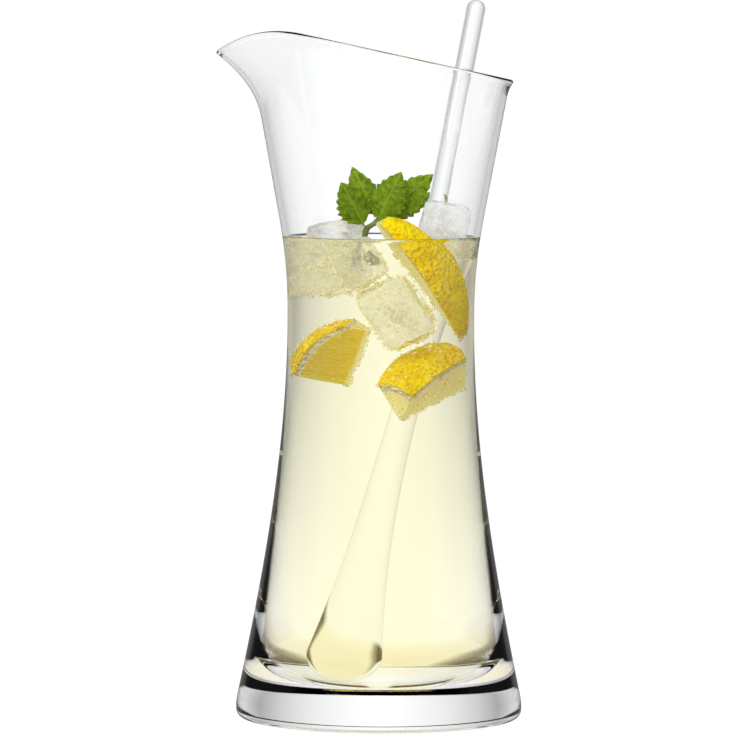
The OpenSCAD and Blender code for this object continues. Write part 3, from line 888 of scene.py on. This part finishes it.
def make_stem(s, m=60, n=24, soften=4):
    """The stem: a tube along a path through its points, softened by a running mean, with a
    four-cornered section and round ends, thicker where leaves grow."""
    path = np.asarray(STEM, float)
    t = np.linspace(0, 1, m)
    way = np.stack([np.interp(t, np.linspace(0, 1, len(path)), row) for row in path.T], -1)
    padded = np.pad(way, ((soften, soften), (0, 0)), "edge")
    kernel = np.ones(2 * soften + 1) / (2 * soften + 1)
    way = np.stack([np.convolve(row, kernel, "valid") for row in padded.T], -1)
    along = np.gradient(way, axis=0)
    along /= np.linalg.norm(along, axis=1)[:, None]
    side = np.cross(along, (1, 0, 0))
    side /= np.linalg.norm(side, axis=1)[:, None]
    up = np.cross(along, side)
    u = np.arange(n)[None, :, None] * TURN / n
    end = np.sqrt(np.clip(1 - (np.abs(2 * t - 1) ** 18), 0, 1))
    r = s.stem_width / MM / 2 * (0.88 + 0.1 * np.cos(t * TURN * 3)) * np.maximum(end, 0.1)
    rings = way[:, None] + r[:, None, None] * (1 + 0.1 * np.cos(4 * u)) * (
        np.cos(u) * side[:, None] + np.sin(u) * up[:, None])
    points = np.vstack([rings.reshape(-1, 3), way[0], way[-1]])
    cut = np.concatenate([np.repeat(np.clip(1 - t / 0.12, 0, 1), n), [1, 0]])
    add_piece("mint_stem_stalk", points, grid_faces(m, n, poles=(m * n, m * n + 1)),
              "contents", "mint_stem", "mint_stem", stem_material(s), cut=cut)


# ---------------------------------------------------------------- bubbles

def make_bubbles(s, level, carriers):
    """Bubbles that cling to the ice and lemon: balls at fixed random points of their
    surfaces, more small ones than large ones, under the surface and inside the bore."""
    draw = np.random.default_rng(11)
    places = []
    for piece in carriers:
        points = piece.data.vertices
        where, out = np.empty((2, len(points) * 3))
        points.foreach_get("co", where)
        points.foreach_get("normal", out)
        pick = draw.choice(len(points), s.count // len(carriers))
        places.append(np.hstack([where.reshape(-1, 3)[pick] / MM, out.reshape(-1, 3)[pick]]))
    places = np.vstack(places)
    share = draw.uniform(0, 1, len(places)) ** 3
    size = s.smallest / MM + (s.largest - s.smallest) / MM * share
    centre = places[:, :3] + places[:, 3:] * size[:, None] * 0.8
    keep = (centre[:, 2] < level - BUBBLE_EDGE) \
        & (np.hypot(centre[:, 0], centre[:, 1]) < BORE_R - BUBBLE_EDGE)
    centre, size = centre[keep], size[keep]
    unit, quads = ball(4, 8)
    points = (unit[None] * size[:, None, None] + centre[:, None]).reshape(-1, 3)
    faces = [[i + k * len(unit) for i in q] for k in range(len(centre)) for q in quads]
    clear = clear_material("bubble", s.index, s.tint, bump=0.01, clear=0.88)
    add_piece("drink_bubbles", points, faces, "contents", None, "drink", clear)


# ---------------------------------------------------------------- stage

def make_floor(s):
    """The floor: a round sheet, level, that the camera sees as white and that takes a soft
    shadow. Through the glass, the floor round the foot shows a painted shade: pale gold under
    the drink and dark gold toward the diagonals round the foot."""
    z = -s.floor_gap / MM
    points, faces = revolved([[9000, z], [900, z], [300, z], [0, z]], 64)
    mesh = bpy.data.meshes.new("floor")
    mesh.from_pydata((points * MM).tolist(), [], faces)
    floor = bpy.data.objects.new("floor", mesh)
    bpy.context.scene.collection.objects.link(floor)
    material, tree, shader = new_material("floor")
    mesh.materials.append(material)
    rays, seen = seen_rays(tree)
    place = node(tree, "ShaderNodeTexCoord").outputs["Object"]
    white = studio_white(tree, vector_maths(tree, "ADD", place, (0, 0, FLOOR_LIFT)), rays, s)
    away = vector_maths(tree, "LENGTH", place, output="Value")
    # painted shade: golden rings round the foot and dark golden corners, seen only by rays
    # through glass, in place of the drink's shadow
    near, edge, end = PAINTED_SHADE_RINGS
    painted_foot_shade = ramp(tree, away, (near, s.under), (edge, s.painted_shade_edge), (end, 1))
    half = [(1 + 2 * part) / 3 for part in s.painted_corner_shade]
    corners = ramp(tree, off_axes(tree, place), (0.17, 1), (0.23, half),
                   (0.31, s.painted_corner_shade))
    fade = node(tree, "ShaderNodeMapRange", Value=away, From_Min=edge, From_Max=end,
                To_Min=1, To_Max=0)
    shade = blended(tree, fade, painted_foot_shade, corners, blend_type="MULTIPLY")
    shade = blended(tree, rays["Is Transmission Ray"], (1, 1, 1), shade)
    feed(tree, shader, Roughness=0.6, Specular_IOR_Level=0.2,
         Base_Color=blended(tree, 1, s.floor, shade, blend_type="MULTIPLY"))
    glow = node(tree, "ShaderNodeEmission",
                Color=blended(tree, 1, white, shade, blend_type="MULTIPLY"),
                Strength=dimmed(tree, s.floor_glow, rays, s.reflected))
    share = maths(tree, "MULTIPLY", seen, 1 - s.floor_shadow)
    feed(tree, tree.nodes["Material Output"], Surface=shown_or(tree, share, shader, glow))


def seen_rays(tree):
    """The kinds of ray, and 1 where a ray came from the camera, a reflection or a
    refraction."""
    rays = node(tree, "ShaderNodeLightPath").outputs
    first = maths(tree, "MAXIMUM", rays["Is Camera Ray"], rays["Is Glossy Ray"])
    return rays, maths(tree, "MAXIMUM", first, rays["Is Transmission Ray"])


def off_axes(tree, way):
    """How far a way lies from the nearest of the four level axes: the smaller of its two
    level parts over its length."""
    flat = vector_maths(tree, "ABSOLUTE", vector_maths(tree, "NORMALIZE", way))
    parts = node(tree, "ShaderNodeSeparateXYZ", flat).outputs
    return maths(tree, "MINIMUM", parts["X"], parts["Y"])


def studio_white(tree, way, rays, s):
    """White for the camera; for other rays, a grey by a ramp over how far their way lies
    from the nearest of the four level axes, so that all four sides look alike."""
    screens = ramp(tree, off_axes(tree, way), (0, 1), (0.1, 0.97), (0.3, s.screen_near),
                   (0.5, s.screen_mid), (0.7, s.screen_dark))
    return blended(tree, rays["Is Camera Ray"], screens, (1, 1, 1))


def dimmed(tree, level, rays, share):
    """A level, less where a reflection sees it, as if the room in front were dark."""
    mirror = maths(tree, "SUBTRACT", rays["Is Glossy Ray"], rays["Is Transmission Ray"],
                   use_clamp=True)
    less = node(tree, "ShaderNodeMapRange", Value=mirror, To_Min=1, To_Max=share)
    return maths(tree, "MULTIPLY", level, less)


def make_world(s):
    """The studio: white, greyer between the four level axes, which the glass's edges show."""
    world = bpy.data.worlds.new("studio")
    bpy.context.scene.world = world
    world.use_nodes = True
    tree = world.node_tree
    place = node(tree, "ShaderNodeTexCoord").outputs["Generated"]
    rays, seen = seen_rays(tree)
    level = node(tree, "ShaderNodeMapRange", Value=seen, To_Min=s.fill, To_Max=s.glow)
    feed(tree, tree.nodes["Background"], Color=studio_white(tree, place, rays, s),
         Strength=dimmed(tree, level, rays, s.reflected))


def aimed(name, data, place, at):
    """An object of the stage at a place, turned toward a point."""
    holder = bpy.data.objects.new(name, data)
    bpy.context.scene.collection.objects.link(holder)
    holder.location = place
    way = Vector(at) - Vector(place)
    holder.rotation_euler = way.to_track_quat("-Z", "Y").to_euler()
    return holder, way.length


def make_camera(s):
    """The camera: level with the rim, far off, framed so that 736 pixels cover 304 mm."""
    camera = bpy.data.cameras.new("camera")
    viewer, far = aimed("camera", camera, (s.camera_aside, -s.camera_distance, s.camera_height),
                        (s.camera_aside, 0, s.camera_aim))
    viewer.rotation_euler.rotate_axis("Z", s.camera_roll)
    camera.sensor_width = 36
    camera.lens = camera.sensor_width * far / s.frame_width
    camera.clip_end = 50
    bpy.context.scene.camera = viewer


def make_key(s):
    """A large soft lamp above and in front, to the left."""
    lamp = bpy.data.lights.new("key", "AREA")
    lamp.shape = "RECTANGLE"
    lamp.size, lamp.size_y = 1.2, 0.9
    lamp.energy = s.key
    holder, _ = aimed("key", lamp, (-1.1, -1.5, 1.5), (0, 0, 0.15))
    holder.visible_transmission = False


# ---------------------------------------------------------------- settings

def length(name, default, low, high, text):
    """A setting in metres."""
    return FloatProperty(name=name, description=text, default=default, min=low, max=high,
                         unit="LENGTH", subtype="DISTANCE")


def colour(name, default, text):
    """A setting of red, green and blue."""
    return FloatVectorProperty(name=name, description=text, default=default, min=0, max=1,
                               size=3, subtype="COLOR")


def number(name, default, low, high, text):
    """A setting without a unit."""
    return FloatProperty(name=name, description=text, default=default, min=low, max=high)


class PitcherGlassSettings(bpy.types.PropertyGroup):
    height: length("Height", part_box("pitcher")[1][2], 0.25, 0.31, "From table to highest rim")
    wall: length("Wall", 0.0026, 0.002, 0.0034, "Thickness of the wall from the waist up")
    lip_turn: length("Lip Turn", 0.0022, 0.001, 0.003, "How far the lip turns outward")
    spout_reach: length("Spout Reach", 0.015, 0.008, 0.018, "How far the spout stands out")
    spout_tip: length("Spout Tip", 0.007, 0.005, 0.01, "Radius of the spout's tip")
    rim_angle: FloatProperty(name="Rim Angle", description="How far the rim falls away",
                             default=math.radians(11.6), min=0.1, max=0.25, subtype="ANGLE")
    flare: number("Flare", 0.185, 0.1, 0.25, "Outward lean of the wall above the waist")
    tint: colour("Tint", (0.995, 1.0, 0.998), "Tint of the clear glass")
    waviness: number("Waviness", 0.02, 0, 0.2, "Unevenness of the blown surface")


class StirrerSettings(bpy.types.PropertyGroup):
    length: length("Length", 0.293, 0.27, 0.31, "Overall length of the stirrer")
    rod: length("Rod", 0.008, 0.006, 0.009, "Diameter of the rod")
    teardrop: length("Teardrop", 0.0258, 0.02, 0.027, "Diameter of the teardrop end")
    taper: length("Taper", 0.14, 0.11, 0.16, "Length over which the end tapers into the rod")
    ior_in_drink: number("Index in Drink", 1.09, 1.0, 1.5, "Bending of light beside the drink")


class DrinkSettings(bpy.types.PropertyGroup):
    level: length("Level", 0.1975, 0.18, 0.21, "Height of the drink's surface")
    meniscus: length("Meniscus", 0.0018, 0.0005, 0.0025, "Climb of the drink at the glass")
    colour: colour("Colour", (0.985, 0.93, 0.53), "Colour of deep drink")
    density: number("Density", 12.0, 0, 40, "Strength of the drink's colour")
    ior: number("Index", 1.34, 1.3, 1.4, "Bending of light by the drink")


class IceSettings(bpy.types.PropertyGroup):
    dents: length("Dents", 0.0018, 0, 0.003, "Depth of the melted dents")
    rime: number("Rime", 0.5, 0, 1, "White of the frost just under the ice's faces")
    squareness: number("Squareness", 6.0, 3, 12, "How square the blocks are")
    # painted light: this yellow tint stands in for light that the lemons scatter into the ice
    tint: colour("Tint", (0.93, 0.9, 0.74), "Tint of the ice under the surface")
    ior_in_drink: number("Index in Drink", 0.95, 0.9, 1.1, "Bending of light beside the drink")


class LemonSettings(bpy.types.PropertyGroup):
    rind: length("Rind", 0.0036, 0.0025, 0.005, "Thickness of the rind")
    peel_light: colour("Light Peel", (1.0, 0.74, 0.008), "Colour of the peel's bright patches")
    peel_dark: colour("Dark Peel", (0.86, 0.56, 0.004), "Colour of the peel's deep patches")
    pith: colour("Pith", (0.96, 0.87, 0.52), "Colour of the pith")
    pith_dark: colour("Dark Pith", (0.72, 0.64, 0.36), "Colour of the pith's dark patches")
    flesh: colour("Flesh", (0.73, 0.56, 0.06), "Colour of the juice sacs")
    flesh_deep: colour("Deep Flesh", (0.7, 0.51, 0.045), "Colour deep in the juice sacs")
    # painted light: a glow of the peel and flesh in their own colour
    painted_lemon_glow: number("Flesh Glow", 0.2, 0, 1, "Light that comes through the flesh")
    flesh_line: colour("Flesh Lines", (0.77, 0.6, 0.085), "Colour between the juice sacs")
    flesh_pale: colour("Pale Flesh", (0.97, 0.86, 0.42), "Colour of the flesh of pale wedges")


class MintSettings(bpy.types.PropertyGroup):
    width: length("Leaf Width", 0.016, 0.012, 0.0165, "Width of the broadest leaves")
    thickness: length("Leaf Thickness", 0.0005, 0.0003, 0.001, "Thickness of a leaf")
    stem_width: length("Stem Width", 0.0024, 0.0016, 0.003, "Diameter of the stem")
    leaf: colour("Leaf", (0.25, 0.36, 0.02), "Bright green of the leaves")
    leaf_dark: colour("Dark Leaf", (0.05, 0.11, 0.003), "Dark green of the leaves")
    vein: colour("Vein", (0.3, 0.42, 0.04), "Colour of the veins")
    stem: colour("Stem", (0.22, 0.28, 0.08), "Colour of the stem")
    stem_dark: colour("Dark Stem", (0.1, 0.14, 0.03), "Dark patches of the stem")
    stem_cut: colour("Cut Stem", (0.06, 0.035, 0.015), "Colour of the stem's cut end")


class BubbleSettings(bpy.types.PropertyGroup):
    count: IntProperty(name="Count", description="Bubbles tried on the ice and lemon",
                       default=3400, min=0, max=6000)
    smallest: length("Smallest", 0.00016, 0.0001, 0.001, "Radius of the smallest bubble")
    largest: length("Largest", 0.0008, 0.0004, 0.002, "Radius of the largest bubble")
    index: number("Index", 0.8, 0.7, 1, "Bending of light by a bubble in the drink")
    tint: colour("Tint", (1, 0.95, 0.66), "Tint of the bubbles")


class StageSettings(bpy.types.PropertyGroup):
    floor: colour("Floor", (0.9, 0.9, 0.9), "Colour of the floor")
    floor_gap: length("Floor Gap", 0.0004, 0, 0.001, "Air under the foot")
    floor_glow: number("Floor Glow", 1.12, 0, 2, "White of the floor as it is seen")
    floor_shadow: number("Floor Shadow", 0.2, 0, 1, "How strongly the shadow shows")
    reflected: number("Reflected", 0.12, 0, 1, "How much of the studio reflections show")
    # painted shade on the floor under the foot, seen only through the glass
    under: colour("Under", (0.93, 0.88, 0.7), "Shade under the drink, seen through glass")
    painted_shade_edge: colour("Under Edge", (0.97, 0.94, 0.83), "Edge of the shade under the drink")
    painted_corner_shade: colour("Under Corner", (0.14, 0.1, 0.02), "Shade at the sides of the foot")
    glow: number("Glow", 1.03, 0, 2, "White of the studio as it is seen")
    fill: number("Fill", 0.95, 0, 2, "Level of the light from all round")
    key: number("Key", 20.0, 0, 100, "Power of the soft lamp")
    screen_near: number("Screen Near", 0.84, 0, 1, "White a little off the four axes")
    screen_mid: number("Screen Middle", 0.66, 0, 1, "White further off the four axes")
    screen_dark: number("Screen Dark", 0.4, 0, 1, "White between the four axes")
    camera_aside: length("Camera Aside", -0.0052, -0.1, 0.1, "Camera's place to the side")
    camera_distance: length("Camera Distance", 2.276, 1, 5, "From the axis to the camera")
    camera_height: length("Camera Height", 0.28, 0, 1, "Height of the camera")
    camera_aim: length("Camera Aim", 0.1446, 0, 0.3, "Height that the camera looks at")
    camera_roll: FloatProperty(name="Camera Roll", description="Turn about the view",
                               default=math.radians(0.32), subtype="ANGLE")
    frame_width: length("Frame Width", 0.30367, 0.2, 1, "Width that the picture covers")


# ---------------------------------------------------------------- operators

class PITCHER_OT_glass(bpy.types.Operator):
    """Make the pitcher's glass"""
    bl_idname = "pitcher.glass"
    bl_label = "Pitcher Glass"

    def execute(self, context):
        make_pitcher(context.scene.pitcher_glass)
        return {"FINISHED"}


class PITCHER_OT_stirrer(bpy.types.Operator):
    """Make the glass stirrer"""
    bl_idname = "pitcher.stirrer"
    bl_label = "Stirrer"

    def execute(self, context):
        make_stirrer(context.scene.pitcher_stirrer, context.scene.pitcher_drink.level)
        return {"FINISHED"}


class PITCHER_OT_drink(bpy.types.Operator):
    """Make the lemon drink"""
    bl_idname = "pitcher.drink"
    bl_label = "Drink"

    def execute(self, context):
        make_drink(context.scene.pitcher_drink, context.scene.pitcher_glass.wall / MM)
        return {"FINISHED"}


class PITCHER_OT_ice(bpy.types.Operator):
    """Make the ice blocks"""
    bl_idname = "pitcher.ice"
    bl_label = "Ice"

    def execute(self, context):
        make_ice(context.scene.pitcher_ice, context.scene.pitcher_drink.level)
        return {"FINISHED"}


class PITCHER_OT_lemon(bpy.types.Operator):
    """Make the lemon wedges"""
    bl_idname = "pitcher.lemon"
    bl_label = "Lemon"

    def execute(self, context):
        make_lemon(context.scene.pitcher_lemon)
        return {"FINISHED"}


class PITCHER_OT_mint(bpy.types.Operator):
    """Make the sprig of mint"""
    bl_idname = "pitcher.mint"
    bl_label = "Mint"

    def execute(self, context):
        make_mint(context.scene.pitcher_mint)
        return {"FINISHED"}


class PITCHER_OT_bubbles(bpy.types.Operator):
    """Make the bubbles on the ice and lemon"""
    bl_idname = "pitcher.bubbles"
    bl_label = "Bubbles"

    def execute(self, context):
        carriers = [piece for piece in bpy.data.objects
                    if piece.name.endswith(("_block", "_peel", "_pulp"))]
        if not carriers:
            raise RuntimeError("make the ice and the lemon before the bubbles")
        make_bubbles(context.scene.pitcher_bubbles, context.scene.pitcher_drink.level / MM,
                     carriers)
        return {"FINISHED"}


class PITCHER_OT_stage(bpy.types.Operator):
    """Make the floor, the studio light and the camera"""
    bl_idname = "pitcher.stage"
    bl_label = "Stage"

    def execute(self, context):
        s = context.scene.pitcher_stage
        make_floor(s)
        make_world(s)
        make_key(s)
        make_camera(s)
        context.scene.view_settings.view_transform = "Standard"
        context.scene.cycles.max_bounces = 32
        context.scene.cycles.transmission_bounces = 32
        context.scene.cycles.transparent_max_bounces = 32
        return {"FINISHED"}


SETTINGS = {
    "pitcher_glass": PitcherGlassSettings,
    "pitcher_stirrer": StirrerSettings,
    "pitcher_drink": DrinkSettings,
    "pitcher_ice": IceSettings,
    "pitcher_lemon": LemonSettings,
    "pitcher_mint": MintSettings,
    "pitcher_bubbles": BubbleSettings,
    "pitcher_stage": StageSettings,
}
OPERATORS = (PITCHER_OT_glass, PITCHER_OT_stirrer, PITCHER_OT_drink, PITCHER_OT_ice,
             PITCHER_OT_lemon, PITCHER_OT_mint, PITCHER_OT_bubbles, PITCHER_OT_stage)


class PITCHER_PT_panel(bpy.types.Panel):
    """Sizes, colours and buttons of the pitcher"""
    bl_idname = "PITCHER_PT_panel"
    bl_label = "Pitcher"
    bl_space_type = "VIEW_3D"
    bl_region_type = "UI"
    bl_category = "Pitcher"

    def draw(self, context):
        for (key, group), operator in zip(SETTINGS.items(), OPERATORS):
            box = self.layout.box()
            for name in group.__annotations__:
                box.prop(getattr(context.scene, key), name)
            box.operator(operator.bl_idname)


def register():
    for group in SETTINGS.values():
        bpy.utils.register_class(group)
    for operator in OPERATORS:
        bpy.utils.register_class(operator)
    bpy.utils.register_class(PITCHER_PT_panel)
    for key, group in SETTINGS.items():
        setattr(bpy.types.Scene, key, PointerProperty(type=group))


def unregister():
    for key in SETTINGS:
        delattr(bpy.types.Scene, key)
    bpy.utils.unregister_class(PITCHER_PT_panel)
    for operator in reversed(OPERATORS):
        bpy.utils.unregister_class(operator)
    for group in SETTINGS.values():
        bpy.utils.unregister_class(group)


def main():
    register()
    bpy.ops.pitcher.glass()
    bpy.ops.pitcher.stirrer()
    bpy.ops.pitcher.drink()
    bpy.ops.pitcher.ice()
    bpy.ops.pitcher.lemon()
    bpy.ops.pitcher.mint()
    bpy.ops.pitcher.bubbles()
    bpy.ops.pitcher.stage()


if __name__ == "__main__":
    main()
